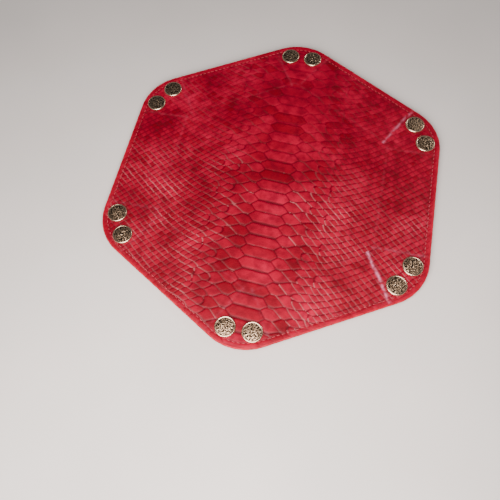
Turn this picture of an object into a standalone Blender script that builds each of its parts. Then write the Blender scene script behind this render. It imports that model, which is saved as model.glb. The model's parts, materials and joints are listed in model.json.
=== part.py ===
"""Folding hexagonal dice tray: two plies of sheet, an embossed leather cover and a velvet lining, with snaps.

The tray lies flat with its cover up, resting on its snap studs and sockets. The sheet is divided at the
creases where it folds: six walls turn down from the base, and each corner pinches into a pleat of two tabs
joined by a narrow fold. A stud on one tab then enters the socket on the other.

Corner k lies between wall k and wall k + 1, counted anticlockwise seen from above; corner 1 points along +Y.
"""

import math

import bmesh
import bpy
from mathutils import Matrix

MM = 0.001

# Driving dimensions
APOTHEM = 122.0 * MM  # centre of the tray to the middle of a side, lying flat
WALL_HEIGHT = 40.0 * MM
CORNER_RADIUS = 38.0 * MM
COVER_THICKNESS = 0.95 * MM
LINING_THICKNESS = 0.95 * MM
PLY_GAP = 0.3 * MM  # glue line between the two plies
FOLD_GAP = 0.3 * MM  # between a panel and the next across a crease
TAB_GAP = 0.6 * MM  # between the two tabs of a corner, where the sheet's loop is opened
SNAP_RADIUS_AT_CORNER = 122.0 * MM  # centre of the tray to the line through a corner's two snaps
SNAP_HALF_SPACING = 9.53 * MM

CAP_RADIUS = 7.5 * MM
CAP_HEIGHT = 1.6 * MM
POST_RADIUS = 2.1 * MM
POST_HOLE_RADIUS = 2.4 * MM
POST_FLARE_RADIUS = 2.6 * MM
SEAT_GAP = 0.3 * MM  # between a metal piece and what it sits on
FLANGE_RADIUS = 6.0 * MM
FLANGE_THICKNESS = 0.5 * MM
FLARE_THICKNESS = 0.3 * MM
SNAP_DEPTH = 3.0 * MM  # how far a stud or socket stands out from the lining
KNOB_RADIUS = 3.0 * MM
KNOB_NECK_RADIUS = 2.85 * MM
KNOB_BORE_RADIUS = 2.65 * MM
KNOB_TIP_RADIUS = 2.5 * MM
KNOB_TIP_THICKNESS = 0.4 * MM
SOCKET_BORE_RADIUS = 3.9 * MM

FOLD_START = 4.0 * MM  # along the pleat from the base's corner
FOLD_LENGTH = 14.0 * MM
FOLD_WIDTH = 1.4 * MM
FOLD_CLEARANCE = 2.6 * MM  # the fold swings past the edge of the second tab while the pleat closes
FOLD_END_CLEARANCE = 1.0 * MM

SIDES = 6
ARC_STEP = math.radians(5)
HOLE_POINTS = 16
TURNED_STEPS = 20

# What follows from them
SHEET_THICKNESS = COVER_THICKNESS + PLY_GAP + LINING_THICKNESS
POST_END = SEAT_GAP + FLANGE_THICKNESS + SEAT_GAP + FLARE_THICKNESS  # past the lining's face
PLEAT_GAP = SNAP_DEPTH + POST_END + SEAT_GAP  # between the linings of a corner's tabs when its snap is closed
LINING_Z = SNAP_DEPTH  # the lining's face, above the surface that the studs rest on
COVER_Z = LINING_Z + SHEET_THICKNESS  # the cover's face
BASE_APOTHEM = APOTHEM - WALL_HEIGHT
HALF_CORNER = math.pi / SIDES  # half the angle at the centre that a side spans
BASE_HALF_SIDE = BASE_APOTHEM * math.tan(HALF_CORNER)
# The crease is moved from the base's corner so that the closed tabs stand PLEAT_GAP apart.
CREASE_SHIFT = (PLEAT_GAP + SHEET_THICKNESS) / 2 / math.cos(HALF_CORNER)
CREASE_T = BASE_HALF_SIDE - CREASE_SHIFT  # crease of wall and tab, from the middle of the wall
BASE_CORNER = BASE_APOTHEM / math.cos(HALF_CORNER)

COLOURS = {
    "cover_leather": ((0.42, 0.010, 0.022, 1), 0.42, 0.0),
    "lining_velvet": ((0.20, 0.006, 0.012, 1), 0.95, 0.0),
    "snap_brass": ((0.55, 0.43, 0.30, 1), 0.38, 1.0),
    "snap_steel": ((0.60, 0.58, 0.55, 1), 0.30, 1.0),
}


def clear_scene():
    for obj in list(bpy.data.objects):
        bpy.data.objects.remove(obj)


def make_materials():
    made = {}
    for name, (colour, roughness, metallic) in COLOURS.items():
        material = bpy.data.materials.new(name)
        material.use_nodes = True
        shader = material.node_tree.nodes["Principled BSDF"]
        shader.inputs["Base Color"].default_value = colour
        shader.inputs["Roughness"].default_value = roughness
        shader.inputs["Metallic"].default_value = metallic
        made[name] = material
    return made


def make_collection(name):
    collection = bpy.data.collections.new(name)
    bpy.context.scene.collection.children.link(collection)
    return collection


def hinge(name, collection, parent=None, location=(0, 0, 0), turn=0.0):
    """An empty on a joint's axis, turned about Z, which carries what moves about that axis."""
    empty = bpy.data.objects.new(name, None)
    empty.empty_display_size = 5 * MM
    empty.parent = parent
    empty.location = location
    empty.rotation_euler.z = turn
    collection.objects.link(empty)
    return empty


def place(name, data, collection, parent, material, location=(0, 0, 0), turn=0.0):
    obj = bpy.data.objects.new(name, data)
    obj.parent = parent
    obj.location = location
    obj.rotation_euler.z = turn
    if not data.materials:
        data.materials.append(material)
    collection.objects.link(obj)
    return obj


# Outlines are lists of (x, y), anticlockwise


def arc(centre, radius, start, end):
    steps = max(2, math.ceil(abs(end - start) / ARC_STEP))
    angles = [start + (end - start) * i / steps for i in range(steps + 1)]
    return [(centre[0] + radius * math.cos(a), centre[1] + radius * math.sin(a)) for a in angles]


def mirrored(outline):
    return [(x, -y) for x, y in reversed(outline)]


def hexagon(apothem):
    """Corners point halfway between the walls, which face 0, 60, 120 ... degrees."""
    radius = apothem / math.cos(HALF_CORNER)
    angles = [HALF_CORNER + 2 * HALF_CORNER * i for i in range(SIDES)]
    return [(radius * math.cos(a), radius * math.sin(a)) for a in angles]


def rectangle(x0, x1, y0, y1):
    return [(x0, y0), (x1, y0), (x1, y1), (x0, y1)]


def pleat_point(along, across):
    """A point by the first corner of a wall that faces +X: along the pleat from the base's corner, and across
    it towards the next wall. The result is from the centre of the tray."""
    u = (math.cos(HALF_CORNER), math.sin(HALF_CORNER))
    v = (-u[1], u[0])
    r = BASE_CORNER + along
    return (r * u[0] + across * v[0], r * u[1] + across * v[1])


def tab_outline(notched):
    """The tab at the +Y end of a wall that faces +X, seen from the centre of the tray. A notched tab leaves
    room for the fold that swings beside it."""
    half_gap = TAB_GAP / 2
    centre_x = APOTHEM - CORNER_RADIUS
    centre = (centre_x, centre_x * math.tan(HALF_CORNER))
    end_angle = HALF_CORNER - math.asin(half_gap / CORNER_RADIUS)
    inner_x = BASE_APOTHEM + FOLD_GAP / 2
    inner_y = inner_x * math.tan(HALF_CORNER) - half_gap / math.cos(HALF_CORNER)
    outline = [
        (inner_x, CREASE_T + FOLD_GAP / 2),
        (APOTHEM, CREASE_T + FOLD_GAP / 2),
        *arc(centre, CORNER_RADIUS, 0.0, end_angle),
    ]
    if notched:
        depth = half_gap + FOLD_WIDTH + FOLD_CLEARANCE
        start = FOLD_START - FOLD_END_CLEARANCE
        end = FOLD_START + FOLD_LENGTH + FOLD_END_CLEARANCE
        outline += [
            pleat_point(end, -half_gap),
            pleat_point(end, -depth),
            pleat_point(start, -depth),
            pleat_point(start, -half_gap),
        ]
    return outline + [(inner_x, inner_y)]


def plate_data(name, outline, thickness, origin=(0, 0), hole=None):
    """A flat plate lying on Z = 0, as a filled 2D curve with its outline measured from origin. hole is the
    centre of a round hole for a snap's post."""
    curve = bpy.data.curves.new(name, "CURVE")
    curve.dimensions = "2D"
    curve.fill_mode = "BOTH"
    curve.extrude = thickness / 2
    loops = [outline]
    if hole:
        full_turn = [2 * math.pi * i / HOLE_POINTS for i in range(HOLE_POINTS)]
        loops.append(
            [
                (hole[0] + POST_HOLE_RADIUS * math.cos(a), hole[1] + POST_HOLE_RADIUS * math.sin(a))
                for a in full_turn
            ]
        )
    for loop in loops:
        spline = curve.splines.new("POLY")
        spline.points.add(len(loop) - 1)
        spline.use_cyclic_u = True
        for point, (x, y) in zip(spline.points, loop):
            point.co = (x - origin[0], y - origin[1], thickness / 2, 1)
    return curve


def turned_data(name, profile):
    """A solid of revolution about Z. The profile is (radius, height) pairs that run down its outer side."""
    mesh = bpy.data.meshes.new(name)
    shape = bmesh.new()
    points = [shape.verts.new((r, 0, z)) for r, z in profile]
    for a, b in zip(points, points[1:]):
        shape.edges.new((a, b))
    if profile[0][0] > 0:
        shape.edges.new((points[-1], points[0]))
    shape.to_mesh(mesh)
    shape.free()
    return mesh


def turn(obj):
    screw = obj.modifiers.new("turn", "SCREW")
    screw.steps = TURNED_STEPS
    screw.render_steps = TURNED_STEPS
    screw.use_merge_vertices = True
    screw.merge_threshold = 0.01 * MM
    screw.use_smooth_shade = True
    return obj


def cap_profile():
    """The cap's dome over the cover and its post down through the sheet, flared behind the stud or socket.
    Height 0 is the cover's face."""
    under = SEAT_GAP
    flare_end = -SHEET_THICKNESS - POST_END
    flare_top = flare_end + FLARE_THICKNESS
    return [
        (0, CAP_HEIGHT),
        (0.55 * CAP_RADIUS, 0.95 * CAP_HEIGHT),
        (0.88 * CAP_RADIUS, 0.78 * CAP_HEIGHT),
        (CAP_RADIUS, 0.45 * CAP_HEIGHT),
        (0.97 * CAP_RADIUS, under),
        (POST_RADIUS, under),
        (POST_RADIUS, flare_top),
        (POST_FLARE_RADIUS, flare_end + FLARE_THICKNESS / 2),
        (POST_RADIUS, flare_end),
        (0, flare_end),
    ]


def socket_profile():
    """A cup that opens downwards, with a hole for the post in its floor. Height 0 is the lining's face."""
    top = -SEAT_GAP
    floor = top - FLANGE_THICKNESS
    rim = 0.3 * MM
    return [
        (POST_HOLE_RADIUS, top),
        (FLANGE_RADIUS - rim, top),
        (FLANGE_RADIUS, top - rim),
        (FLANGE_RADIUS, rim - SNAP_DEPTH),
        (FLANGE_RADIUS - rim, -SNAP_DEPTH),
        (SOCKET_BORE_RADIUS + rim, -SNAP_DEPTH),
        (SOCKET_BORE_RADIUS, rim - SNAP_DEPTH),
        (SOCKET_BORE_RADIUS, floor),
        (POST_HOLE_RADIUS, floor),
    ]


def stud_profile():
    """A flange with a hollow knob, whose bore takes the post's flare. Height 0 is the lining's face."""
    top = -SEAT_GAP
    face = top - FLANGE_THICKNESS
    bulge = (face - SNAP_DEPTH) / 2
    tip_inside = KNOB_TIP_THICKNESS - SNAP_DEPTH
    return [
        (POST_HOLE_RADIUS, top),
        (FLANGE_RADIUS, top),
        (FLANGE_RADIUS, face),
        (KNOB_NECK_RADIUS + 0.1 * MM, face),
        (KNOB_NECK_RADIUS + 0.1 * MM, face - 0.3 * MM),
        (KNOB_RADIUS + 0.05 * MM, bulge),
        (KNOB_TIP_RADIUS, -SNAP_DEPTH),
        (0, -SNAP_DEPTH),
        (0, tip_inside),
        (KNOB_TIP_RADIUS - 0.2 * MM, tip_inside),
        (KNOB_BORE_RADIUS, bulge),
        (KNOB_BORE_RADIUS, face),
        (POST_HOLE_RADIUS, face),
    ]


def build_tray():
    clear_scene()
    materials = make_materials()
    tray = make_collection("folding_dice_tray")
    leather, velvet = materials["cover_leather"], materials["lining_velvet"]
    brass, steel = materials["snap_brass"], materials["snap_steel"]
    cover_low = COVER_Z - COVER_THICKNESS

    base = hexagon(BASE_APOTHEM - FOLD_GAP / 2)
    place("base_cover", plate_data("base_cover", base, COVER_THICKNESS), tray, None, leather, (0, 0, cover_low))
    place("base_lining", plate_data("base_lining", base, LINING_THICKNESS), tray, None, velvet, (0, 0, LINING_Z))

    # Shapes shared by all six walls and corners, each measured from its own hinge
    wall_pivot = (BASE_APOTHEM, 0)
    wall = rectangle(
        BASE_APOTHEM + FOLD_GAP / 2, APOTHEM, FOLD_GAP / 2 - CREASE_T, CREASE_T - FOLD_GAP / 2
    )
    wall_cover = plate_data("wall_cover", wall, COVER_THICKNESS, wall_pivot)
    wall_lining = plate_data("wall_lining", wall, LINING_THICKNESS, wall_pivot)
    snap = pleat_point(SNAP_RADIUS_AT_CORNER - BASE_CORNER, -SNAP_HALF_SPACING)
    tab_pivot = (BASE_APOTHEM, CREASE_T)
    far_pivot = (BASE_APOTHEM, -CREASE_T)
    far_snap = (snap[0], -snap[1])
    tab_a = plate_data("tab_a", tab_outline(False), SHEET_THICKNESS, tab_pivot, snap)
    tab_b = plate_data("tab_b", mirrored(tab_outline(True)), SHEET_THICKNESS, far_pivot, far_snap)
    fold_start = TAB_GAP / 2
    fold = plate_data(
        "fold",
        rectangle(FOLD_START, FOLD_START + FOLD_LENGTH, fold_start, fold_start + FOLD_WIDTH),
        SHEET_THICKNESS,
    )
    cap = turned_data("cap", cap_profile())
    socket = turned_data("socket", socket_profile())
    stud = turned_data("stud", stud_profile())

    walls = []
    for k in range(1, SIDES + 1):
        facing = 2 * HALF_CORNER * k
        axis_point = (BASE_APOTHEM * math.cos(facing), BASE_APOTHEM * math.sin(facing), LINING_Z)
        wall_hinge = hinge(f"wall_{k}_hinge", tray, None, axis_point, facing)
        place(f"wall_{k}_cover", wall_cover, tray, wall_hinge, leather, (0, 0, cover_low - LINING_Z))
        place(f"wall_{k}_lining", wall_lining, tray, wall_hinge, velvet)
        walls.append(wall_hinge)

    for k in range(1, SIDES + 1):
        # Tab a is on wall k and carries the socket; tab b is on the next wall and carries the stud.
        for side, wall_hinge, pivot, at, outline, catch, catch_name in (
            ("a", walls[k - 1], tab_pivot, snap, tab_a, socket, "socket"),
            ("b", walls[k % SIDES], far_pivot, far_snap, tab_b, stud, "stud"),
        ):
            on_wall = (0, pivot[1], SHEET_THICKNESS)
            tab_hinge = hinge(f"corner_{k}_tab_{side}_hinge", tray, wall_hinge, on_wall)
            place(f"corner_{k}_tab_{side}", outline, tray, tab_hinge, leather, (0, 0, -SHEET_THICKNESS))
            seat = (at[0] - pivot[0], at[1] - pivot[1])
            turn(place(f"corner_{k}_cap_{side}", cap, tray, tab_hinge, brass, (*seat, 0)))
            on_lining = (*seat, -SHEET_THICKNESS)
            turn(place(f"corner_{k}_{catch_name}", catch, tray, tab_hinge, steel, on_lining))
            if side == "a":
                corner = (0, BASE_HALF_SIDE - CREASE_T, -SHEET_THICKNESS - PLEAT_GAP / 2)
                fold_hinge = hinge(f"corner_{k}_fold_hinge", tray, tab_hinge, corner, HALF_CORNER)
                place(f"corner_{k}_fold", fold, tray, fold_hinge, leather, (0, 0, PLEAT_GAP / 2))


build_tray()
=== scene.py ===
"""Looks of the folding dice tray: an embossed leather cover over a velvet lining, stitched round the edge,
with a pair of snaps at each corner.

Places come from the CAD frame. Walls are numbered anticlockwise seen from above, wall 6 facing +X, and corner
k lies between wall k and wall k + 1. Each ply is one flat grid, cut along its folds into a piece for each CAD
body. All sizes are in millimetres, and MM turns them into metres where a mesh is made.
"""

import json
import math

import bmesh
import bpy
import numpy as np
from mathutils import Euler, Matrix, Vector, noise


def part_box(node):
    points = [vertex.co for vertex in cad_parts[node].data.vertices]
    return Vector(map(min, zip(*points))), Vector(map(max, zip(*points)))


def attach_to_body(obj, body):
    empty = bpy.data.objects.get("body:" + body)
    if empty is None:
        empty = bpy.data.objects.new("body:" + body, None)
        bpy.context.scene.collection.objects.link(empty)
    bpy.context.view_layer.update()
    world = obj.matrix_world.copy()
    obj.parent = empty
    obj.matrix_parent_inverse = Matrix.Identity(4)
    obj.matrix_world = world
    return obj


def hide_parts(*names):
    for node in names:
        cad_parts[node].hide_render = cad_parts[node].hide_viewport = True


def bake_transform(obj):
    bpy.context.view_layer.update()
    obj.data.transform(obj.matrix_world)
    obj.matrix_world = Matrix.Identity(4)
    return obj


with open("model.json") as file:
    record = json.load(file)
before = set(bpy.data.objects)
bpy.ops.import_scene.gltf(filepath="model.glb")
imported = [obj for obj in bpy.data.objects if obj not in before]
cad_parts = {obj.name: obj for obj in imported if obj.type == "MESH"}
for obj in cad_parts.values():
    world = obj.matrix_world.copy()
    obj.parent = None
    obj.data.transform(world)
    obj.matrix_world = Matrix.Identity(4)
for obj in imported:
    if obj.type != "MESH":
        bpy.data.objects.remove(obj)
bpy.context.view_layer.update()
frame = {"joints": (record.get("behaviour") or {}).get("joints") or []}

MM = 0.001
SIDES = 6
HALF_CORNER = math.pi / SIDES
TAN30, COS30 = math.tan(HALF_CORNER), math.cos(HALF_CORNER)
JOINTS = {joint["name"]: joint for joint in frame["joints"]}

# Read from the frame
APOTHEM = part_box("wall_6_cover")[1].x / MM
BASE_APOTHEM = JOINTS["wall_6_fold"]["pos_m"][0] / MM
CREASE_T = JOINTS["corner_6_tab_a_crease"]["pos_m"][1] / MM
LINING_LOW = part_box("base_lining")[0].z / MM
COVER_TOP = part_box("base_cover")[1].z / MM
CAP_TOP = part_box("corner_1_cap_a")[1].z / MM
CAP_RADIUS = (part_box("corner_6_cap_a")[1].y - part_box("corner_6_cap_a")[0].y) / 2 / MM
PLY_JOIN = LINING_LOW + 0.48 * (COVER_TOP - LINING_LOW)

CORNER_RADIUS = 38.0
PLY_INSET = 0.5  # how far the plies stop short of the outline, under the edge paint
STITCH_INSET = 4.0
STITCH_PITCH = 3.5
STITCH_LENGTH = 2.9
THREAD = 0.62

# Half the width of each bend, either side of its fold line
WALL_BEND = 3.0
TAB_BEND = 1.8
PLEAT_BEND = 2.0

# Fineness of the meshes
GRID = 0.5
LINING_GRID = 1.5
PLEAT_STEPS = 24  # across a pleat, which bends double
PLEAT_ROW = 0.6
BEAD_SIDES = 12
CAP_STEPS = 96
SNAP_STEPS = 64
MERGED = 0.01 * MM  # points nearer to a cut than this count as on it
SAME_POINT = 0.002 * MM
ON_AXIS = 0.0008  # radius of a ring that merges into one point


# ---------------------------------------------------------------- small helpers


def linear(hex_colour):
    """An sRGB hex value as linear RGBA."""
    channels = [int(hex_colour[i : i + 2], 16) / 255 for i in (1, 3, 5)]
    return (*(c / 12.92 if c <= 0.04045 else ((c + 0.055) / 1.055) ** 2.4 for c in channels), 1.0)


def put_in_scene(name, mesh):
    """A new object with the mesh, the only one selected."""
    obj = bpy.data.objects.new(name, mesh)
    bpy.context.scene.collection.objects.link(obj)
    for other in bpy.context.selected_objects:
        other.select_set(False)
    obj.select_set(True)
    bpy.context.view_layer.objects.active = obj
    return obj


def facing(k):
    """The angle that wall k faces."""
    return 2 * HALF_CORNER * k


def unit(angle):
    return Vector((math.cos(angle), math.sin(angle), 0))


def smooth(x):
    """An even step from 0 to 1."""
    x = np.clip(x, 0, 1)
    return x * x * (3 - 2 * x)


HASH_FACTORS = (127.1, 311.7, 74.7)
HASH_SCALE = 43758.5453


def repeatable(*keys):
    """A number from 0 to 1 that looks random and is always the same for the same keys."""
    mixed = sum(key * factor for key, factor in zip(keys, HASH_FACTORS))
    return np.modf(np.abs(np.sin(mixed) * HASH_SCALE))[0]


# ---------------------------------------------------------------- the sheet's outline and folds


def in_wall(x, y):
    """The number of the wall that each point lies towards, and how far out and along it the point is."""
    wall = np.round(np.arctan2(y, x) / (2 * HALF_CORNER)).astype(int) % SIDES
    angle = wall * 2 * HALF_CORNER
    out = x * np.cos(angle) + y * np.sin(angle)
    along = -x * np.sin(angle) + y * np.cos(angle)
    return np.where(wall == 0, SIDES, wall), out, along


def edge_distance(x, y):
    """How far inside the rounded outline each point is."""
    _, out, along = in_wall(x, y)
    centre = APOTHEM - CORNER_RADIUS
    side = np.abs(along)
    in_corner = side > centre * TAN30
    rounded = CORNER_RADIUS - np.hypot(out - centre, side - centre * TAN30)
    return np.where(in_corner, rounded, APOTHEM - out)


def region_of(x, y):
    """Which piece of the sheet each point belongs to: 0 the base, k wall k, 10 + k and 20 + k the tabs a and
    b of corner k, 30 + k its pleat."""
    wall, out, along = in_wall(x, y)
    diagonal = np.abs(out * math.sin(HALF_CORNER) - np.abs(along) * COS30)
    beyond_base = out > BASE_APOTHEM
    # Corner k is at the far end of wall k, and corner k - 1 is at its near end.
    corner = np.where(along > 0, wall, (wall - 2) % SIDES + 1)
    region = np.zeros(x.shape, int)
    is_wall = (out > BASE_APOTHEM - WALL_BEND) & (np.abs(along) < CREASE_T - TAB_BEND)
    region[is_wall] = wall[is_wall]
    is_tab = beyond_base & ~is_wall
    region[is_tab] = (corner + np.where(along > 0, 10, 20))[is_tab]
    is_pleat = is_tab & (diagonal < PLEAT_BEND)
    region[is_pleat] = (corner + 30)[is_pleat]
    return region


# Each corner is rounded by cuts that touch its arc, this many to either side of its diagonal.
ARC_CUTS = 5
ARC_STEP = math.radians(5.2)
NEAR_CORNER = 108.0  # along the diagonal, and nearer to the middle than any of the arc


def sheet_grid(pitch, inset):
    """A flat grid of the sheet's outline, with edges along every line where one piece meets the next."""
    reach = APOTHEM / COS30
    count = round(2 * reach / pitch)
    bpy.ops.mesh.primitive_grid_add(x_subdivisions=count, y_subdivisions=count, size=2 * reach * MM)
    flat = bpy.context.object
    shape = bmesh.new()
    shape.from_mesh(flat.data)
    bpy.data.objects.remove(flat)

    def cut(normal, distance, trim=False, part=None):
        geom = part or [*shape.verts, *shape.edges, *shape.faces]
        place = normal * distance * MM
        bmesh.ops.bisect_plane(
            shape, geom=geom, dist=MERGED, plane_co=place, plane_no=normal, clear_outer=trim
        )

    for k in range(SIDES):
        cut(unit(facing(k)), APOTHEM - inset, trim=True)
    for k in range(SIDES):
        cut(unit(facing(k)), BASE_APOTHEM)
        cut(unit(facing(k)), BASE_APOTHEM - WALL_BEND)
        cut(unit(facing(k) + math.pi / 2), CREASE_T - TAB_BEND)
        cut(unit(facing(k) + HALF_CORNER + math.pi / 2), PLEAT_BEND)
    centre = (APOTHEM - CORNER_RADIUS) / COS30
    radius = CORNER_RADIUS - inset
    for k in range(SIDES):
        diagonal = unit(facing(k) + HALF_CORNER)
        for i in range(-ARC_CUTS, ARC_CUTS + 1):
            normal = unit(facing(k) + HALF_CORNER + i * ARC_STEP)
            near = [f for f in shape.faces if f.calc_center_median().dot(diagonal) > NEAR_CORNER * MM]
            part = list({e for f in near for e in (*f.verts, *f.edges)}) + near
            cut(normal, centre * normal.dot(diagonal) + radius, trim=True, part=part)
    mesh = bpy.data.meshes.new("sheet")
    shape.to_mesh(mesh)
    shape.free()
    points = np.zeros(len(mesh.vertices) * 3, np.float32)
    mesh.vertices.foreach_get("co", points)
    faces = [tuple(face.vertices) for face in mesh.polygons]
    bpy.data.meshes.remove(mesh)
    return points.reshape(-1, 3)[:, :2].astype(float) / MM, faces


# ---------------------------------------------------------------- the embossed scales

BELLY_X = 1.8  # the row of wide belly scales, from the middle of the tray
FIRST_COLUMNS = (0.0, 16.5, 26.3)  # distances of the belly's own column and the next two
FIRST_FLATS = (9.5, 2.0, 0.7)
LAST_COLUMN = 170
FLAT_SHARE = 0.08  # of the gap between columns, further out
PITCHES = ((30, 9.3), (45, 6.2), (math.inf, 4.95))  # pitch along the belly, by the distance it reaches to
FIRST_LEANS = (0.5, 0.45)
FIRST_SHIFT = 1.5


def scale_columns():
    """Columns of scales outwards from the belly: each one's distance, the half length of its flat middle, its
    pitch along the belly, its shift along the belly and the share of a pitch that the next one is shifted."""
    at, flat = [*FIRST_COLUMNS], [*FIRST_FLATS]
    while at[-1] < LAST_COLUMN:
        # The gap narrows outwards, from about 8 to 2.9.
        gap = 2.9 + 6.9 * math.exp((21 - at[-1]) / 16)
        at.append(at[-1] + gap)
        flat.append(FLAT_SHARE * gap)
    pitch = [next(size for reach, size in PITCHES if a < reach) for a in at]
    # The rows lean over by the belly, and lean more again from 45 to 80 out.
    lean = [*FIRST_LEANS] + [min(0.46, max(0.28, 0.28 + 0.18 * (a - 45) / 35)) for a in at[2:]]
    shift = [FIRST_SHIFT]
    for step, size in zip(lean, pitch[1:]):
        shift.append(shift[-1] + step * size)
    return [np.array(values) for values in (at, flat, pitch, shift, lean)]


FAR = 9.0  # further than any scale's centre, in pitches
ASIDE, UP = 0.10, 0.14  # how unevenly the scales lie, across and along the belly, in pitches
GAP_SHARE = 0.36  # turns the difference between two centres' distances, in pitches, into a distance
MAINLY = 1.25  # how many times steeper than it is wide a groove has to be to count as oblique


def scales(x, y):
    """How far each point is from the nearest groove, the size, tone and slope of the scale that the point is
    on, and whether the nearest groove is one of the long oblique ones that catch the light."""
    at, flat, pitch, shift, lean = scale_columns()
    side = np.where(x > BELLY_X, 1, -1)
    across = np.abs(x - BELLY_X)
    # The rows run a little down to the right, more so beyond the belly.
    y = y + side * (0.06 * np.minimum(across, 12) + 0.17 * np.clip(across - 12, 0, 35))
    steps = np.empty(2 * len(at))
    steps[0::2], steps[1::2] = at - flat, at + flat
    column = np.interp(across, steps, np.repeat(np.arange(len(at)), 2))
    first = np.floor(column).astype(int)
    tilt = lean[np.minimum(first, len(at) - 1)]
    nearest = np.full(x.shape, FAR)
    second = np.full(x.shape, FAR)
    found = np.zeros((6, *x.shape))
    other = np.zeros((2, *x.shape))
    for step in (-1, 0, 1, 2):
        # Left of the belly's own column comes the first column of the other side.
        c = np.abs(first + step)
        facing_side = np.where(first + step < 0, -side, side)
        own_side = np.where(c == 0, 0, facing_side)
        row = np.round((y - shift[c]) / pitch[c])
        for r in (row - 1, row, row + 1):
            aside = ASIDE * (repeatable(c, r, own_side) - 0.5) * (c > 0)
            up = UP * (repeatable(r, c + 7, own_side) - 0.5)
            du = np.where(first + step < 0, -column, column) - c + aside
            dv = (y - shift[c]) / pitch[c] - r + up
            a, b = (1 - tilt) * du + dv, dv - tilt * du
            away = np.hypot(a, b)
            closer = away < nearest
            other = np.where(closer, found[4:6], np.where(away < second, (a, b), other))
            second = np.where(closer, nearest, np.minimum(second, away))
            values = (pitch[c], repeatable(c + 3, r, own_side + 5), dv, c, a, b)
            found = np.where(closer, values, found)
            nearest = np.where(closer, away, nearest)
    size, tone, rise = found[0], found[1], found[2]
    gap = (second - nearest) * GAP_SHARE * size
    steep = np.abs(found[4] - other[0]) > MAINLY * np.abs(found[5] - other[1])
    gentle = np.abs(found[5] - other[1]) > MAINLY * np.abs(found[4] - other[0])
    oblique = np.where(side > 0, steep, gentle) & (found[3] + first > 1)
    return gap, size, tone, rise, oblique


def waves(x, y, lengths, seed):
    """Smooth swells, from about -1 to 1, as a sum of waves in mixed directions."""
    draw = np.random.default_rng(seed)
    total = np.zeros(x.shape)
    for length in lengths:
        angle, phase = draw.uniform(0, 2 * math.pi, 2)
        total += np.sin(2 * math.pi * (x * math.cos(angle) + y * math.sin(angle)) / length + phase)
    return total / len(lengths)


def bell(distance, width):
    """1 at no distance, falling off over the width."""
    return np.exp(-((distance / width) ** 2))


BASE_CREASE, TAB_CREASE = 0.8, 1.0  # widths
PLAIN_WEAR = 0.05
WORN_TABS = ((5, 1, 0.85), (1, -1, 0.42), (6, -1, 0.12))  # (wall, its far end or its near one, wear)


def creases(x, y):
    """How near each point is to a fold, 1 on its line: where the base meets a wall, and where a wall meets a
    tab. The third value is how rubbed the fold is, which is most at two of the corners."""
    wall, out, along = in_wall(x, y)
    wander = 0.5 * waves(x, y, (23, 11, 37), 5)
    base = bell(out - BASE_APOTHEM + wander, BASE_CREASE) * (np.abs(along) < BASE_APOTHEM * TAN30)
    tab = bell(np.abs(along) - CREASE_T + wander, TAB_CREASE) * (out > BASE_APOTHEM - 2)
    wear = np.full(x.shape, PLAIN_WEAR)
    for k, end, amount in WORN_TABS:
        wear = np.where((wall == k) & (along * end > 0), amount, wear)
    return base, tab, base * 0.03 + tab * wear


def cover_height(x, y):
    """The cover's relief in millimetres over its nominal face, with what its colour needs at each point."""
    gap, size, tone, rise, oblique = scales(x, y)
    edge = edge_distance(x, y)
    # Larger scales have wider and deeper grooves, and all are shallower towards the back, where the shade
    # painted into them is also fainter.
    towards_back = smooth((y + 5) / 75)
    groove = bell(gap, 0.24 + 0.022 * size)
    depth = (0.14 + 0.016 * size) * (1 - 0.3 * towards_back)
    groove_shade = groove * (1 - 0.5 * towards_back)
    # Each scale is a low dome, and overlaps the next like a roof tile.
    dome = 0.012 * size * (1 - np.exp(-gap / (0.14 * size)))
    relief = dome - depth * groove - 0.019 * size * rise
    relief *= 0.45 + 0.55 * smooth((edge - 1) / 4)
    stitch_line = bell(edge - STITCH_INSET, 0.75)
    margin = 0.10 * bell(edge - 2.0, 1.1)
    swell = 0.16 * waves(x, y, (41, 53, 67, 35, 80), 3)
    base, tab, rubbed = creases(x, y)
    height = relief + swell + margin - 0.24 * stitch_line - 0.04 * base - 0.07 * tab
    height -= 0.35 * (1 - np.clip(edge / 0.7, 0, 1)) ** 2
    # Painted highlight on the long grooves' edges that face the key light, in patches, most towards the front.
    highlight_fade = (0.15 + 0.85 * smooth((30 - y) / 60)) * (1 - 0.4 * smooth((x - 30) / 60))
    highlight_fade *= 0.6 + 0.4 * waves(x, y, (31, 19, 27), 12)
    edge_highlight = bell(gap, 0.24) * oblique * highlight_fade
    return height, {
        # groove is shade painted into the grooves and along the stitch line
        "groove": np.maximum(groove_shade * smooth((edge - 0.8) / 1.6), 0.7 * stitch_line),
        # a painted highlight on the edges of the long grooves that face the key light
        "painted_edge_highlight": edge_highlight * smooth((edge - 1) / 3),
        "scale_tone": tone,
        "edge_mm": np.clip(edge, 0, 20),
        "fold": rubbed,
    }


def lining_height(x, y):
    """The lining's face, measured down from its nominal one: a little uneven, and rolled at the edge."""
    edge = edge_distance(x, y)
    height = 0.05 * waves(x, y, (9, 13, 17, 29), 8) + 0.30 * (1 - np.clip(edge / 1.2, 0, 1)) ** 2
    height += 0.18 * bell(edge - STITCH_INSET, 0.9)
    return height, {"edge_mm": np.clip(edge, 0, 20)}


# ---------------------------------------------------------------- making closed plies


def chained(edges):
    """Boundary edges as one closed loop of points."""
    after = dict(edges)
    loop = [edges[0][0]]
    while after[loop[-1]] != loop[0]:
        loop.append(after[loop[-1]])
    return loop


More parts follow.
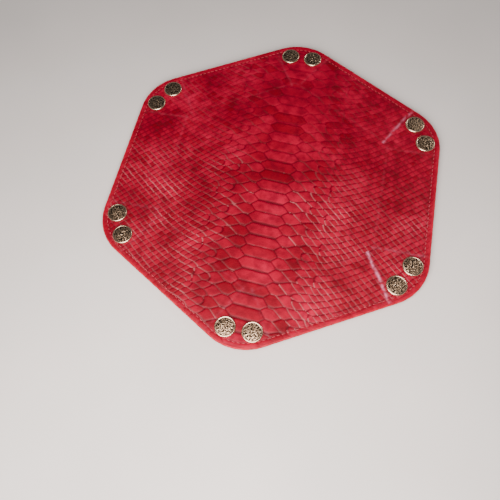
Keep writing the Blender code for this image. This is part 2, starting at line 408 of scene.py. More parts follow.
def ply(name, flat, faces, height, up, material, plain_back):
    """A closed piece of sheet. The shown face follows height. The other is flat, where the two plies join, and
    is one big face if plain_back. up is +1 where the shown face looks up and -1 where it looks down."""
    raised, fields = height(flat[:, 0], flat[:, 1])
    shown = np.column_stack([flat, (COVER_TOP if up > 0 else LINING_LOW) + raised])
    back = np.column_stack([flat, np.full(len(flat), PLY_JOIN)])
    count = len(flat)
    ahead = {(f[i - 1], f[i]) for f in faces for i in range(len(f))}
    rim = [(a, b) for a, b in ahead if (b, a) not in ahead]
    rim.sort()
    front = faces if up > 0 else [f[::-1] for f in faces]
    if plain_back:
        loop = chained(rim)
        behind = [tuple(count + i for i in reversed(loop))]
    else:
        behind = [tuple(count + i for i in reversed(f)) for f in faces]
    if up < 0:
        behind = [f[::-1] for f in behind]
    walls = [(b, a, count + a, count + b) for a, b in rim]
    if up < 0:
        walls = [w[::-1] for w in walls]
    mesh = bpy.data.meshes.new(name)
    points = np.concatenate([shown, back]) * MM
    used = None
    if plain_back:
        used = np.unique([*range(count), *(count + i for i in loop)])
        places = np.full(2 * count, -1)
        places[used] = np.arange(len(used))
        behind = [tuple(int(places[i]) for i in f) for f in behind]
        walls = [tuple(int(places[i]) for i in f) for f in walls]
        points = points[used]
    mesh.from_pydata(points.tolist(), [], [*front, *behind, *walls])
    for field, values in fields.items():
        both = np.concatenate([values, values])
        both = both[used] if used is not None else both
        mesh.attributes.new(field, "FLOAT", "POINT").data.foreach_set("value", both.astype(np.float32))
    obj = put_in_scene(name, mesh)
    mesh.materials.append(material)
    bpy.ops.object.shade_smooth_by_angle(angle=math.radians(50))
    return obj


def pleat_strip(k, inset):
    """A flat grid along the diagonal of corner k, from the base's corner to the outline, fine enough across
    to bend double."""
    diagonal = facing(k) + HALF_CORNER
    u, v = unit(diagonal), unit(diagonal + math.pi / 2)
    centre = (APOTHEM - CORNER_RADIUS) / COS30
    radius = CORNER_RADIUS - inset
    steps_along = round((centre + radius - BASE_APOTHEM / COS30) / PLEAT_ROW)
    flat, faces = [], []
    for i in range(steps_along + 1):
        for j in range(PLEAT_STEPS + 1):
            across = PLEAT_BEND * (2 * j / PLEAT_STEPS - 1)
            start = BASE_APOTHEM / COS30 - abs(across) * TAN30
            end = centre + math.sqrt(radius**2 - across**2)
            along = start + (end - start) * i / steps_along
            point = u * along + v * across
            flat.append((point.x, point.y))
    row = PLEAT_STEPS + 1
    for i in range(steps_along):
        for j in range(PLEAT_STEPS):
            at = i * row + j
            faces.append((at, at + row, at + row + 1, at + 1))
    return np.array(flat), faces


def names_of(region):
    """A piece's stem, the bodies that it lies on, and the fold between them as its place, direction and half
    width. The base has no fold."""
    kind, k = divmod(region, 10)
    if region == 0:
        return "base", ("root",), None
    if kind == 0:
        out = unit(facing(k))
        return f"wall_{k}", ("root", f"wall_{k}"), (out * BASE_APOTHEM, out, WALL_BEND)
    if kind == 1:
        out, along = unit(facing(k)), unit(facing(k) + math.pi / 2)
        return f"corner_{k}_tab_a", (f"wall_{k}", f"corner_{k}_tab_a"), (along * CREASE_T, along, TAB_BEND)
    if kind == 2:
        along = -unit(facing(k + 1) + math.pi / 2)
        wall = k % SIDES + 1
        return f"corner_{k}_tab_b", (f"wall_{wall}", f"corner_{k}_tab_b"), (along * CREASE_T, along, TAB_BEND)
    across = unit(facing(k) + HALF_CORNER + math.pi / 2)
    return f"corner_{k}_pleat", (f"corner_{k}_tab_a", f"corner_{k}_fold"), (across * 0, across, PLEAT_BEND)


def attach(obj, region):
    """Makes a piece in the base follow the root body; a piece of any other region only has its place baked
    into its mesh.
    """
    _, bodies, fold = names_of(region)
    if fold is None:
        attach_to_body(obj, bodies[0])
        return
    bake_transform(obj)


REGIONS = [0, *range(1, 7), *range(11, 17), *range(21, 27), *range(31, 37)]


def split(points, faces):
    """The flat grid as {region: (points, faces)}, each with its own numbering."""
    centres = np.array([points[list(face)].mean(0) for face in faces])
    regions = region_of(centres[:, 0], centres[:, 1])
    parts = {}
    for region in REGIONS:
        own = [faces[i] for i in np.flatnonzero(regions == region)]
        used = np.unique(np.concatenate([np.array(face) for face in own]))
        places = {int(old): new for new, old in enumerate(used)}
        parts[region] = (points[used], [tuple(places[i] for i in face) for face in own])
    return parts


def make_ply(kind, pitch, height, up, material):
    """One whole ply, as {region: piece}."""
    made = {}
    parts = split(*sheet_grid(pitch, PLY_INSET))
    for region, (points, faces) in parts.items():
        if region > 30:
            points, faces = pleat_strip(region - 30, PLY_INSET)
        stem = names_of(region)[0]
        is_base = region == 0
        piece = ply(f"{stem}_{kind}_ply", points, faces, height, up, material, plain_back=is_base)
        attach(piece, region)
        made[region] = piece
    return made


# ---------------------------------------------------------------- edge bead and stitching


def rim_point(k, along, inset):
    """On the line that runs inset inside wall k's part of the outline, so far along from its middle: the
    place and the outward direction."""
    half_straight = (APOTHEM - CORNER_RADIUS) * TAN30
    radius = CORNER_RADIUS - inset
    side = math.copysign(1, along)
    beyond = abs(along) - half_straight
    out, left = unit(facing(k)), unit(facing(k) + math.pi / 2)
    if beyond <= 0:
        return out * (APOTHEM - inset) + left * along, out
    outward = unit(facing(k) + side * beyond / radius)
    return out * (APOTHEM - CORNER_RADIUS) + left * side * half_straight + outward * radius, outward


def rim_half_length(inset):
    return (APOTHEM - CORNER_RADIUS) * TAN30 + (CORNER_RADIUS - inset) * HALF_CORNER


STATION_GAP = 1.1
FEWEST_GAPS = 6


def rim_stations(k):
    """Distances along wall k's part of the outline, one on every line where a piece of the sheet ends."""
    radius = CORNER_RADIUS
    half = rim_half_length(0)
    crease = CREASE_T - TAB_BEND
    pleat = half - radius * math.asin(PLEAT_BEND / radius)
    marks = [-half, -pleat, -crease, crease, pleat, half]
    stations = []
    for start, end in zip(marks, marks[1:]):
        steps = max(FEWEST_GAPS, round((end - start) / STATION_GAP))
        stations.append([start + (end - start) * i / steps for i in range(steps + 1)])
    return stations


BEAD_CENTRE = 0.50  # inside the outline
BEAD_REACH = 0.72  # either side of its centre
BEAD_LAP = 0.10  # past each face
BEAD_SQUARENESS = 0.16


def bead_section():
    """The painted edge's section: a bead that laps a little onto both faces, as (inset, height) pairs."""
    middle = (COVER_TOP + LINING_LOW) / 2
    half_height = (COVER_TOP - LINING_LOW) / 2 + BEAD_LAP
    section = []
    for i in range(BEAD_SIDES):
        angle = 2 * math.pi * i / BEAD_SIDES
        squared = (1 - BEAD_SQUARENESS * math.sin(2 * angle) ** 2) / (1 - BEAD_SQUARENESS)
        inset = BEAD_CENTRE - BEAD_REACH * math.cos(angle) * squared
        section.append((inset, middle + half_height * math.sin(angle)))
    return section


def bead(name, runs):
    """The bead along one or more runs of the outline, each a list of (wall, distance along)."""
    section = bead_section()
    points, faces = [], []
    for run in runs:
        base = len(points)
        for k, along in run:
            place, outward = rim_point(k, along, 0)
            uneven = 0.05 * math.sin(along * 0.83 + k) + 0.03 * math.sin(along * 2.1 + 2 * k)
            for inset, height in section:
                spot = place - outward * (inset + (uneven if inset < BEAD_CENTRE else 0))
                points.append((spot.x * MM, spot.y * MM, height * MM))
        size = len(section)
        for i in range(len(run) - 1):
            for j in range(size):
                a, b = base + i * size + j, base + i * size + (j + 1) % size
                faces.append((a, a + size, b + size, b))
        faces.append(tuple(base + j for j in range(size)))
        faces.append(tuple(base + (len(run) - 1) * size + j for j in reversed(range(size))))
    mesh = bpy.data.meshes.new(name)
    mesh.from_pydata(points, [], faces)
    return finish_mesh(name, mesh, 60)


def finish_mesh(name, mesh, angle):
    """Puts a mesh in the scene with its faces outwards, smooth where they meet at less than the angle."""
    obj = put_in_scene(name, mesh)
    bpy.ops.object.mode_set(mode="EDIT")
    bpy.ops.mesh.select_all(action="SELECT")
    bpy.ops.mesh.normals_make_consistent(inside=False)
    bpy.ops.object.mode_set(mode="OBJECT")
    bpy.ops.object.shade_smooth_by_angle(angle=math.radians(angle))
    return obj


def make_edge():
    runs = {region: [] for region in REGIONS if region}
    for k in range(1, SIDES + 1):
        before = (k - 2) % SIDES + 1
        for region, stations in zip((before + 30, before + 20, k, k + 10, k + 30), rim_stations(k)):
            runs[region].append([(k, along) for along in stations])
    for region, own in runs.items():
        piece = bead(f"{names_of(region)[0]}_edge", own)
        piece.data.materials.append(edge_paint)
        attach(piece, region)


def one_stitch():
    """One stitch along X: a short length of thread that dips into its holes at both ends."""
    bpy.ops.mesh.primitive_uv_sphere_add(segments=6, ring_count=6, radius=0.5)
    stitch = bpy.context.object
    points = np.array([v.co for v in stitch.data.vertices])
    faces = [tuple(face.vertices) for face in stitch.data.polygons]
    bpy.data.objects.remove(stitch)
    along = points[:, 2] * 2
    stout = THREAD * (0.55 + 0.45 * np.sqrt(np.clip(1 - along**2, 0, 1)))
    arch = THREAD * (0.10 - 0.62 * np.abs(along) ** 3)
    flat = np.hypot(points[:, 0], points[:, 1])
    off_pole = flat > 1e-6
    round_x, round_y = (
        np.divide(points[:, i], flat, out=np.zeros_like(flat), where=off_pole) * np.minimum(flat * 2, 1)
        for i in (0, 1)
    )
    half = THREAD / 2
    width, height = (ring * stout / THREAD * half for ring in (round_y, round_x))
    shape = np.column_stack([along * STITCH_LENGTH / 2, width, height])
    shape[:, 2] += arch
    return shape, faces


STITCH_SLANT = math.radians(-6)
STITCH_WOBBLE = math.radians(3)
STITCH_LIFT = 0.10


def make_stitching(kind, face_height, up):
    """A line of stitches round the sheet, on the face that up says, a piece of it for each piece of sheet."""
    shape, faces = one_stitch()
    per_wall = round(2 * rim_half_length(STITCH_INSET) / STITCH_PITCH)
    pitch = 2 * rim_half_length(STITCH_INSET) / per_wall
    groups = {}
    for k in range(1, SIDES + 1):
        for i in range(per_wall):
            along = (i + 0.5 - per_wall / 2) * pitch
            place, outward = rim_point(k, along, STITCH_INSET)
            region = int(region_of(np.array([place.x]), np.array([place.y]))[0])
            # A machine's stitches lie at a slight slant to their line.
            slant = STITCH_SLANT + STITCH_WOBBLE * (repeatable(k, i, 2) - 0.5)
            forward = Vector((-outward.y, outward.x, 0))
            forward.rotate(Euler((0, 0, slant)))
            across = Vector((-forward.y, forward.x, 0))
            height, _ = face_height(np.array([place.x]), np.array([place.y]))
            level = (COVER_TOP if up > 0 else LINING_LOW) + float(height[0]) + up * STITCH_LIFT
            spots = np.outer(shape[:, 0], forward) + np.outer(shape[:, 1], across) + np.array(place)
            spots[:, 2] = level + up * shape[:, 2]
            groups.setdefault(region, []).append(spots)
    for region, own in groups.items():
        name = f"{names_of(region)[0]}_{kind}"
        mesh = bpy.data.meshes.new(name)
        size = len(shape)
        every = [tuple(i * size + v for v in face) for i in range(len(own)) for face in faces]
        mesh.from_pydata((np.concatenate(own) * MM).tolist(), [], every)
        piece = finish_mesh(name, mesh, 70)
        piece.data.materials.append(thread)
        attach(piece, region)


# ---------------------------------------------------------------- snaps


def turned(name, profile, steps, ring=False):
    """A piece turned about Z from (radius, height) pairs in millimetres: a circle drawn out from each pair to
    the next. A ring's section closes on itself, and any other starts and ends on the axis."""
    (radius, height), *rest = [(max(r, ON_AXIS), z) for r, z in (*profile, *profile[: int(ring)])]
    bpy.ops.mesh.primitive_circle_add(vertices=steps, radius=radius * MM)
    obj = bpy.context.object
    obj.name = name
    bpy.ops.object.mode_set(mode="EDIT")
    bpy.ops.mesh.select_all(action="SELECT")
    bpy.ops.transform.translate(value=(0, 0, height * MM))
    for r, z in rest:
        bpy.ops.mesh.extrude_region_move(TRANSFORM_OT_translate={"value": (0, 0, (z - height) * MM)})
        bpy.ops.transform.resize(value=(r / radius, r / radius, 1), center_override=(0, 0, 0))
        radius, height = r, z
    bpy.ops.mesh.select_all(action="SELECT")
    bpy.ops.mesh.remove_doubles(threshold=SAME_POINT)
    bpy.ops.mesh.normals_make_consistent(inside=False)
    bpy.ops.object.mode_set(mode="OBJECT")
    bpy.ops.object.shade_smooth_by_angle(angle=math.radians(48))
    return obj


def on_curve(s, before, start, end, after):
    """A Catmull-Rom curve's value, a share s of the way from start to end."""
    bend = 2 * before - 5 * start + 4 * end - after
    twist = 3 * start - before - 3 * end + after
    return 0.5 * (2 * start + (end - before) * s + bend * s**2 + twist * s**3)


def smooth_run(points, per_span):
    """More points along a run of (radius, height) pairs, on a curve through them."""
    run = []
    padded = [points[0], *points, points[-1]]
    for four in zip(padded, padded[1:], padded[2:], padded[3:]):
        for i in range(per_span):
            run.append(tuple(on_curve(i / per_span, *values) for values in zip(*four)))
    return [*run, points[-1]]


FACE_RINGS = 26
PIT_DEPTH = 0.30
RUBBED = 0.9  # a smooth part's relief, as the plating's colour goes by it


def make_cap():
    """The cap: a low dome with a rolled rim and a pitted antiqued face, on a post through the sheet."""
    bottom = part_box("corner_6_cap_a")[0].z / MM
    rise = CAP_TOP - COVER_TOP
    radius = CAP_RADIUS
    face_edge = radius * 0.84
    face = []
    for i in range(FACE_RINGS + 1):
        fall = 0.26 * (i / FACE_RINGS) ** 2.2
        face.append((face_edge * i / FACE_RINGS, COVER_TOP + rise * (0.98 - fall)))
    rolled = smooth_run(
        [
            (radius * 0.86, COVER_TOP + rise * 0.74),
            (radius * 0.90, COVER_TOP + rise * 0.80),
            (radius * 0.95, COVER_TOP + rise * 0.72),
            (radius * 0.99, COVER_TOP + rise * 0.48),
            (radius * 1.00, COVER_TOP + rise * 0.22),
            (radius * 0.985, COVER_TOP + 0.02),
            (radius * 0.95, COVER_TOP - 0.12),
        ],
        3,
    )
    post = [(2.1, COVER_TOP - 0.12), (2.1, bottom + 0.35), (2.5, bottom + 0.16), (2.3, bottom + 0.02)]
    hollow = [(1.4, bottom), (1.1, bottom + 0.3), (0, bottom + 0.4)]
    cap = turned("cap", [*face, *rolled, *post, *hollow], CAP_STEPS)
    pits = []
    for vertex in cap.data.vertices:
        r = vertex.co.xy.length / MM
        on_face = vertex.co.z / MM > COVER_TOP + rise * 0.6 and r < radius * 0.85
        spot = Vector((vertex.co.x, vertex.co.y, 0)) / MM
        amount = 0.0
        if on_face:
            coarse = noise.noise(spot * 1.0 + Vector((5, 3, 1)))
            fine = noise.noise(spot * 2.1 + Vector((1, 7, 4)))
            amount = 0.55 * coarse + 0.75 * fine
            amount *= min(1, (face_edge - r) / 0.5) if r < face_edge else 0
            vertex.co.z += PIT_DEPTH * amount * MM
        pits.append(amount if on_face else RUBBED)
    cap.data.attributes.new("relief", "FLOAT", "POINT").data.foreach_set("value", pits)
    return cap


def make_socket():
    """The female half: a cup with a rolled lip, turned down over the end of the post."""
    low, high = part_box("corner_6_socket")
    top, bottom, radius = high.z / MM, low.z / MM, (high.x - low.x) / 2 / MM
    inner = 3.9
    floor = top - 0.5
    section = [
        (2.4, top),
        (radius - 0.35, top),
        (radius - 0.05, top - 0.3),
        (radius, top - 0.6),
        (radius - 0.25, top - 0.85),
        (radius - 0.65, top - 1.1),
        (radius - 0.78, bottom + 0.5),
        (radius - 0.85, bottom + 0.15),
        (radius - 1.15, bottom),
        (inner + 0.35, bottom),
        (inner + 0.05, bottom + 0.2),
        (inner, bottom + 0.5),
        (inner + 0.25, bottom + 0.8),
        (inner + 0.25, bottom + 1.3),
        (inner, floor + 0.1 - 0.25),
        (inner - 0.35, floor),
        (2.4, floor),
    ]
    return turned("socket", section, SNAP_STEPS, ring=True)


SPRING_RADIUS, SPRING_WIRE = 3.72, 0.26
SPRING_HEIGHT = 1.02  # over the socket's lip


def make_spring():
    """The ring inside the socket that grips the stud."""
    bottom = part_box("corner_6_socket")[0].z / MM
    radius, wire = SPRING_RADIUS * MM, SPRING_WIRE * MM
    bpy.ops.mesh.primitive_torus_add(
        major_segments=SNAP_STEPS, minor_segments=10, major_radius=radius, minor_radius=wire
    )
    spring = bpy.context.object
    spring.name = "spring"
    spring.data.transform(Matrix.Translation(Vector((0, 0, (bottom + SPRING_HEIGHT) * MM))))
    return spring


def make_stud():
    """The male half: a dished flange with a hollow knob, pinched at its neck."""
    low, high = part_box("corner_6_stud")
    top, bottom, radius = high.z / MM, low.z / MM, (high.x - low.x) / 2 / MM
    face = top - 0.5
    middle = (face + bottom) / 2
    section = [
        (2.4, top),
        (radius - 0.3, top),
        (radius, top - 0.12),
        (radius, face + 0.12),
        (radius - 0.25, face - 0.02),
        (radius - 0.8, face + 0.08),
        (radius - 1.5, face + 0.1),
        (3.2, face),
        (2.88, face - 0.25),
        (2.86, middle + 0.45),
        (3.02, middle),
        (2.98, bottom + 0.55),
        (2.75, bottom + 0.15),
        (2.35, bottom),
        (1.9, bottom + 0.12),
        (1.85, bottom + 0.38),
        (2.5, bottom + 0.55),
        (2.65, middle),
        (2.6, face - 0.05),
        (2.4, face),
    ]
    return turned("stud", section, SNAP_STEPS, ring=True)


def copy_to(obj, name, centre, turn):
    """A copy of a piece made on the Z axis, turned and moved to centre, with its place in its own mesh."""
    made = obj.copy()
    made.data = obj.data.copy()
    made.name = made.data.name = name
    made.data.transform(Matrix.Translation(centre) @ Matrix.Rotation(turn, 4, "Z"))
    bpy.context.scene.collection.objects.link(made)
    return made


def make_snaps():
    cap, socket, spring, stud = make_cap(), make_socket(), make_spring(), make_stud()
    cap.data.materials.append(snap_bronze)
    for piece in (socket, spring, stud):
        piece.data.materials.append(snap_steel)
    for k in range(1, SIDES + 1):
        for index, side in enumerate("ab"):
            low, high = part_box(f"corner_{k}_cap_{side}")
            centre = Vector(((low.x + high.x) / 2, (low.y + high.y) / 2, 0))
            body = f"corner_{k}_tab_{side}"
            turn = 2 * math.pi * float(repeatable(k, index, 9))
            made = copy_to(cap, f"corner_{k}_cap_{side}_face", centre, turn)
            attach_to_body(made, body)
            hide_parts(f"corner_{k}_cap_{side}")
            catches = ((socket, "socket"), (spring, "spring")) if side == "a" else ((stud, "stud"),)
            for original, kind in catches:
                made = copy_to(original, f"corner_{k}_{kind}_turned", centre, turn)
                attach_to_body(made, body)
                if kind != "spring":
                    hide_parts(f"corner_{k}_{kind}")
    for original in (cap, socket, spring, stud):
        bpy.data.objects.remove(original)


# ---------------------------------------------------------------- materials


def new_material(name):
    material = bpy.data.materials.new(name)
    material.use_nodes = True
    return material, material.node_tree, material.node_tree.nodes["Principled BSDF"]


def add(tree, kind, links=None, stops=(), **settings):
    """Adds a node. Settings are its properties, or its inputs' values where the name is no property. Links
    are {input: socket to take}. Both name an input by its label, with _ for a space, or by its number as _0,
    _1. Stops are the (position, hex colour) pairs of a colour ramp."""
    node = tree.nodes.new(kind)
    set_up(tree, node, links or {}, **settings)
    while stops and len(node.color_ramp.elements) < len(stops):
        node.color_ramp.elements.new(0.5)
    for element, (position, colour) in zip(node.color_ramp.elements if stops else (), stops):
        element.position = position
        element.color = linear(colour)
    return node


def set_up(tree, node, links, **settings):
    """Gives a node its settings and links, as add does."""
    for key, value in settings.items():
        if hasattr(node, key):
            setattr(node, key, value)
        else:
            socket(node, key).default_value = value
    for key, source in links.items():
        tree.links.new(source, socket(node, key))


def socket(node, key):
    return node.inputs[int(key[1:])] if key[1:].isdigit() else node.inputs[key.replace("_", " ")]


# Kinds of node. A mix of colours takes its share at _0 and its colours at _6 and _7, and gives output 2.
PLACE, FIELD = "ShaderNodeTexCoord", "ShaderNodeAttribute"
NOISE, CELLS = "ShaderNodeTexNoise", "ShaderNodeTexVoronoi"
RAMP, RANGE, MIX = "ShaderNodeValToRGB", "ShaderNodeMapRange", "ShaderNodeMix"
MATH, BUMP = "ShaderNodeMath", "ShaderNodeBump"


def make_leather():
    """Chrome-tanned calf, embossed with reptile scales and finished with a satin acrylic. Shade is painted
    into the grooves, and a highlight is painted on the edges of the long grooves that face the key light."""
    material, tree, shader = new_material("embossed_calf_leather")
    place = add(tree, PLACE).outputs["Object"]
    groove = add(tree, FIELD, attribute_name="groove").outputs["Fac"]
    edge_highlight = add(tree, FIELD, attribute_name="painted_edge_highlight").outputs["Fac"]
    tone = add(tree, FIELD, attribute_name="scale_tone").outputs["Fac"]
    edge = add(tree, FIELD, attribute_name="edge_mm").outputs["Fac"]
    fold = add(tree, FIELD, attribute_name="fold").outputs["Fac"]
    # Cloudy dyeing, about 40 mm across, mottling of about 6 mm and streaks of about 5 mm
    cloud = add(tree, NOISE, {"Vector": place}, Scale=26.0, Detail=3.0).outputs["Fac"]
    mottle = add(tree, NOISE, {"Vector": place}, Scale=160.0, Detail=3.0).outputs["Fac"]
    streak = add(tree, NOISE, {"Vector": place}, Scale=210.0, Detail=2.0).outputs["Fac"]
    dye = ((0.28, "#78001a"), (0.52, "#9a0028"), (0.74, "#b40436"))
    base = add(tree, RAMP, {"Fac": cloud}, stops=dye).outputs["Color"]
    tones = ((0.0, "#a08a4c"), (0.16, "#c8b0a0"), (0.5, "#f0ecec"), (1.0, "#ffffff"))
    toned = add(tree, RAMP, {"Fac": tone}, stops=tones).outputs["Color"]
    links = {"_6": base, "_7": toned}
    base = add(tree, MIX, links, data_type="RGBA", blend_type="MULTIPLY", _0=0.6).outputs[2]
    speckled = add(tree, RANGE, {"Value": mottle}, From_Min=0.40, From_Max=0.68, To_Max=0.55)
    # Painted shade: the grooves and the stitch line are darkened
    painted_groove_shade = add(tree, MATH, {"_0": groove}, operation="MULTIPLY", _1=0.78)
    patchy = add(tree, RANGE, {"Value": cloud}, From_Min=0.38, From_Max=0.62, To_Min=0.15, To_Max=0.75)
    # Painted highlight on the edges of the long grooves that face the key light
    pale = add(tree, MATH, {"_0": edge_highlight, "_1": patchy.outputs["Result"]}, operation="MULTIPLY")
    margin = add(tree, RANGE, {"Value": edge}, From_Min=4.4, From_Max=3.4, To_Max=0.25)
    broken = add(tree, RANGE, {"Value": streak}, From_Min=0.38, From_Max=0.6, To_Min=0.1, To_Max=0.95)
    creased = add(tree, MATH, {"_0": fold, "_1": broken.outputs["Result"]}, operation="MULTIPLY")
    layers = (
        (speckled, "#4c000c"),
        # painted shade in the grooves
        (painted_groove_shade, "#380008"),
        # painted highlight on the lit groove edges
        (pale, "#e58a8c"),
        (margin, "#a00024"),
        (creased, "#d07c9c"),
    )
    for share, colour in layers:
        links = {"_0": share.outputs[0], "_6": base}
        base = add(tree, MIX, links, data_type="RGBA", _7=linear(colour)).outputs[2]
    rough = add(tree, RANGE, {"Value": mottle}, From_Min=0.3, From_Max=0.7, To_Min=0.40, To_Max=0.54)
    # Pore grain of 0.3 mm, drawn a little coarser than it is
    grain = add(tree, NOISE, {"Vector": place}, Scale=1900.0, Detail=2.0).outputs["Fac"]
    wrinkle = add(tree, CELLS, {"Vector": place}, Scale=900.0).outputs["Distance"]
    fine = add(tree, BUMP, {"Height": grain}, Strength=0.22, Distance=0.0002).outputs["Normal"]
    bump = add(tree, BUMP, {"Height": wrinkle, "Normal": fine}, Strength=0.18, Distance=0.0003)
    links = {"Base_Color": base, "Roughness": rough.outputs["Result"], "Normal": bump.outputs["Normal"]}
    set_up(tree, shader, links, IOR=1.48, Specular_IOR_Level=0.16)
    return material


def make_velvet():
    """Short-pile velvet glued to the leather: the pile leans in patches and glows at a grazing angle."""
    material, tree, shader = new_material("short_pile_velvet")
    place = add(tree, PLACE).outputs["Object"]
    nap = add(tree, NOISE, {"Vector": place}, Scale=45.0, Detail=4.0, Distortion=0.8).outputs["Fac"]
    pile = add(tree, NOISE, {"Vector": place}, Scale=2400.0, Detail=1.0).outputs["Fac"]
    leaning = ((0.32, "#7c0a18"), (0.55, "#9c1023"), (0.72, "#b81a30"))
    base = add(tree, RAMP, {"Fac": nap}, stops=leaning).outputs["Color"]
    share = add(tree, RANGE, {"Value": pile}, From_Min=0.35, From_Max=0.65, To_Max=0.4).outputs["Result"]
    base = add(tree, MIX, {"_0": share, "_6": base}, data_type="RGBA", _7=linear("#5d0713")).outputs[2]
    bump = add(tree, BUMP, {"Height": pile}, Strength=0.6, Distance=0.0003).outputs["Normal"]
    links = {"Base_Color": base, "Normal": bump}
    set_up(tree, shader, links, Roughness=0.95, Specular_IOR_Level=0.2)
    set_up(tree, shader, {}, Sheen_Weight=0.7, Sheen_Roughness=0.4, Sheen_Tint=linear("#ff8a96"))
    return material


def make_edge_paint():
    """Acrylic edge paint over the cut edges, in two coats: brighter than the leather, and a little glossy."""
    material, tree, shader = new_material("acrylic_edge_paint")
    place = add(tree, PLACE).outputs["Object"]
    coat = add(tree, NOISE, {"Vector": place}, Scale=240.0, Detail=3.0).outputs["Fac"]
    reds = ((0.3, "#8c001c"), (0.6, "#ae0026"), (0.8, "#c00834"))
    base = add(tree, RAMP, {"Fac": coat}, stops=reds).outputs["Color"]
    rough = add(tree, RANGE, {"Value": coat}, From_Min=0.3, From_Max=0.7, To_Min=0.30, To_Max=0.45)
    bump = add(tree, BUMP, {"Height": coat}, Strength=0.3, Distance=0.0004).outputs["Normal"]
    links = {"Base_Color": base, "Roughness": rough.outputs["Result"], "Normal": bump}
    set_up(tree, shader, links, Specular_IOR_Level=0.25)
    return material


def make_thread():
    """Bonded polyester thread, twisted from three strands of about 0.25 mm."""
    material, tree, shader = new_material("bonded_polyester_thread")
    place = add(tree, PLACE).outputs["Object"]
    strands = add(tree, NOISE, {"Vector": place}, Scale=1600.0, Detail=2.0).outputs["Fac"]
    reds = ((0.35, "#80001a"), (0.65, "#b80430"))
    base = add(tree, RAMP, {"Fac": strands}, stops=reds).outputs["Color"]
    bump = add(tree, BUMP, {"Height": strands}, Strength=0.5, Distance=0.0002).outputs["Normal"]
    set_up(tree, shader, {"Base_Color": base, "Normal": bump}, Roughness=0.5, Sheen_Weight=0.25)
    return material


def make_bronze():
    """Die-struck brass plated with antique nickel: black in the pits, and rubbed bright on the high spots."""
    material, tree, shader = new_material("antiqued_nickel_plate")
    place = add(tree, PLACE).outputs["Object"]
    relief = add(tree, FIELD, attribute_name="relief").outputs["Fac"]
    spots = add(tree, NOISE, {"Vector": place}, Scale=900.0, Detail=3.0).outputs["Fac"]
    uneven = add(tree, RANGE, {"Value": spots}, From_Min=0.3, From_Max=0.7, To_Min=-0.3, To_Max=0.3)
    height = add(tree, MATH, {"_0": relief, "_1": uneven.outputs["Result"]}, operation="ADD").outputs[0]
    rubbed = add(tree, RANGE, {"Value": height}, From_Min=-0.5, From_Max=0.6).outputs["Result"]
    patina = ((0.29, "#1a140f"), (0.44, "#6a5848"), (0.58, "#b69a7e"), (0.93, "#dfc4a4"))
    base = add(tree, RAMP, {"Fac": rubbed}, stops=patina).outputs["Color"]
    rough = add(tree, RANGE, {"Value": height}, From_Min=-0.4, From_Max=0.5, To_Min=0.55, To_Max=0.24)
    bump = add(tree, BUMP, {"Height": spots}, Strength=0.35, Distance=0.0003).outputs["Normal"]
    links = {"Base_Color": base, "Roughness": rough.outputs["Result"], "Normal": bump}
    set_up(tree, shader, links, Metallic=1.0)
    return material


def make_steel():
    """Nickel-plated spring steel, pressed: bright, with faint draw marks."""
    material, tree, shader = new_material("nickel_plated_steel")
    place = add(tree, PLACE).outputs["Object"]
    marks = add(tree, NOISE, {"Vector": place}, Scale=700.0, Detail=4.0).outputs["Fac"]
    base = add(tree, RAMP, {"Fac": marks}, stops=((0.35, "#a9a49b"), (0.65, "#cfcac2"))).outputs["Color"]
    rough = add(tree, RANGE, {"Value": marks}, From_Min=0.3, From_Max=0.7, To_Min=0.22, To_Max=0.38)
    links = {"Base_Color": base, "Roughness": rough.outputs["Result"]}
    set_up(tree, shader, links, Metallic=1.0)
    return material


def make_floor_paint():
    """Matt wall paint, rolled on a little unevenly."""
    material, tree, shader = new_material("matt_floor_paint")
    place = add(tree, PLACE).outputs["Object"]
    shade = add(tree, NOISE, {"Vector": place}, Scale=9.0, Detail=2.0).outputs["Fac"]
    base = add(tree, RAMP, {"Fac": shade}, stops=((0.3, "#cfcdca"), (0.7, "#d6d4d1"))).outputs["Color"]
    set_up(tree, shader, {"Base_Color": base}, Roughness=0.85)
    return material


# ---------------------------------------------------------------- floor, light and camera


# In metres
FLOOR_HALF = 12.0
RECESS_APOTHEM = 0.110
RECESS_DEPTH = 0.06
LAMP_DISTANCE = 0.41


def make_floor():
    """A plain floor with a recess under the tray, so that its walls can be folded down where it lies."""
    corner = RECESS_APOTHEM / COS30
    bpy.ops.mesh.primitive_circle_add(vertices=SIDES, radius=corner, fill_type="NGON")
    floor = bpy.context.object
    floor.name = "floor"
    now_at = math.atan2(*floor.data.vertices[0].co.yx)
    floor.data.transform(Matrix.Rotation(HALF_CORNER - now_at, 4, "Z"))
    bpy.ops.object.mode_set(mode="EDIT")
    bpy.ops.mesh.select_all(action="SELECT")
    bpy.ops.mesh.extrude_region_move(TRANSFORM_OT_translate={"value": (0, 0, -RECESS_DEPTH)})
    bpy.ops.object.mode_set(mode="OBJECT")
    shape = bmesh.new()
    shape.from_mesh(floor.data)
    # The top of the pit is open: its lid goes, and the floor is drawn out from its edge.
    for face in [f for f in shape.faces if f.calc_center_median().z > -RECESS_DEPTH / 4]:
        shape.faces.remove(face)
    rim = [e for e in shape.edges if e.is_boundary or e.is_wire]
    rim = [e for e in rim if all(abs(v.co.z) < 1e-6 for v in e.verts)]
    drawn = bmesh.ops.extrude_edge_only(shape, edges=rim)["geom"]
    for vertex in [g for g in drawn if isinstance(g, bmesh.types.BMVert)]:
        vertex.co = vertex.co.normalized() * FLOOR_HALF
    shape.to_mesh(floor.data)
    shape.free()
    floor.data.materials.append(make_floor_paint())


def make_lamp(name, kind, azimuth, elevation, power, colour):
    """A lamp that shines on the tray from the angles given, in degrees: the lamp and its object."""
    lamp = bpy.data.lights.new(name, kind)
    lamp.energy = power
    lamp.color = linear(colour)[:3]
    obj = bpy.data.objects.new(name, lamp)
    bpy.context.scene.collection.objects.link(obj)
    a, e = math.radians(azimuth), math.radians(elevation)
    direction = Vector((math.cos(e) * math.cos(a), math.cos(e) * math.sin(a), math.sin(e)))
    obj.location = direction * LAMP_DISTANCE
    obj.rotation_euler = direction.to_track_quat("Z", "Y").to_euler()
    return lamp, obj


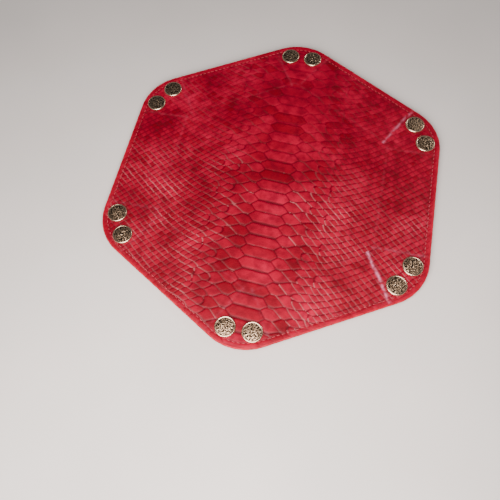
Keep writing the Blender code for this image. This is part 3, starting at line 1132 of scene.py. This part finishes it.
def make_studio():
    """A broad lamp in front, a weak sun from behind on the right, and pale walls under a dim ceiling."""
    world = bpy.data.worlds.new("studio")
    bpy.context.scene.world = world
    world.use_nodes = True
    tree = world.node_tree
    direction = add(tree, PLACE).outputs["Generated"]
    height = add(tree, "ShaderNodeSeparateXYZ", {"_0": direction}).outputs["Z"]
    walls = add(tree, RAMP, {"Fac": height}, stops=((0.22, "#b4b4b5"), (0.42, "#5c5e62")))
    set_up(tree, tree.nodes["Background"], {"_0": walls.outputs["Color"]}, Strength=1.0)
    sun, _ = make_lamp("key", "SUN", 50, 42, 0.5, "#fff6f2")
    sun.angle = math.radians(11)
    softbox, softbox_object = make_lamp("softbox", "AREA", -90, 48, 5.5, "#fff2ec")
    softbox.shape = "DISK"
    softbox.size = 0.44
    softbox_object.visible_camera = False


def make_camera():
    lens = bpy.data.cameras.new("camera")
    lens.lens = 36.456
    lens.sensor_width = 36.0
    camera = bpy.data.objects.new("camera", lens)
    bpy.context.scene.collection.objects.link(camera)
    away = Vector((0.12397, -0.37874, 0.91716))
    up = Vector((-0.18016, 0.90034, 0.39615))
    right = up.cross(away).normalized()
    camera.matrix_world = Matrix.LocRotScale(
        Vector((0.04059, -0.20222, 0.34267)), Matrix((right, away.cross(right), away)).transposed(), None
    )
    bpy.context.scene.camera = camera


# ---------------------------------------------------------------- the tray

make_camera()
cover_leather, lining_velvet, edge_paint = make_leather(), make_velvet(), make_edge_paint()
thread, snap_bronze, snap_steel = make_thread(), make_bronze(), make_steel()

covers = make_ply("cover", GRID, cover_height, 1, cover_leather)
linings = make_ply("lining", LINING_GRID, lining_height, -1, lining_velvet)
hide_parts("base_cover")
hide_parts("base_lining")
for k in range(1, SIDES + 1):
    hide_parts(f"wall_{k}_cover")
    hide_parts(f"wall_{k}_lining")
    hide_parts(f"corner_{k}_tab_a")
    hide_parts(f"corner_{k}_tab_b")
    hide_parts(f"corner_{k}_fold")
make_edge()
make_stitching("stitching", cover_height, 1)
make_stitching("lining_stitching", lining_height, -1)
make_snaps()

make_floor()
make_studio()
